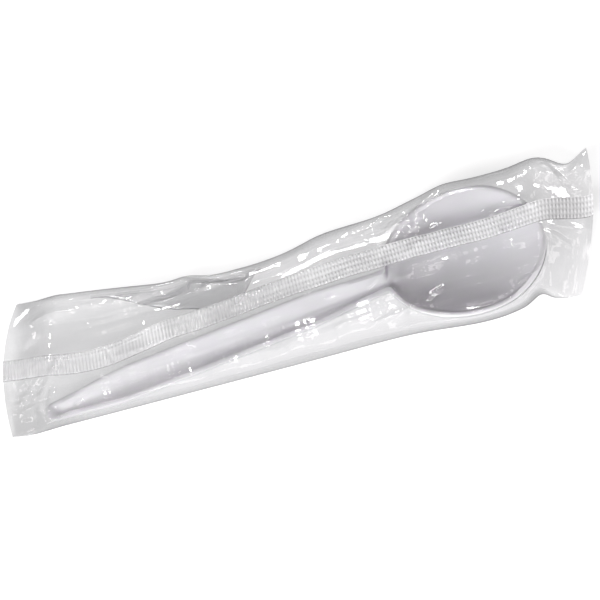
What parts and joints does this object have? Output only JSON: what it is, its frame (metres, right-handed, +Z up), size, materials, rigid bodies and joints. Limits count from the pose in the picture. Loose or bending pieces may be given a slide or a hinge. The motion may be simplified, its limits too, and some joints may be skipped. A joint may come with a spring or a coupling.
{
  "type": "wrapped soup spoon",
  "caption": "White plastic soup spoon with a round bowl, sealed in a clear film flow wrap with a ribbed fin seal folded flat along its top.",
  "frame": {"origin": "middle of the pack's footprint, on the surface it lies on", "axes": "+X along the pack, from the handle's end to the bowl's end; +Z up, out of the bowl; +Y towards the pack's far long edge"},
  "size_m": [0.1842, 0.0488, 0.0114],
  "materials": {
    "white_plastic": "semi-gloss white moulded plastic",
    "clear_film": "thin clear glossy film, unprinted"
  },
  "bodies": {
    "root": {"soup_spoon": "white_plastic", "film_wrapper": "clear_film"}
  },
  "joints": []
}
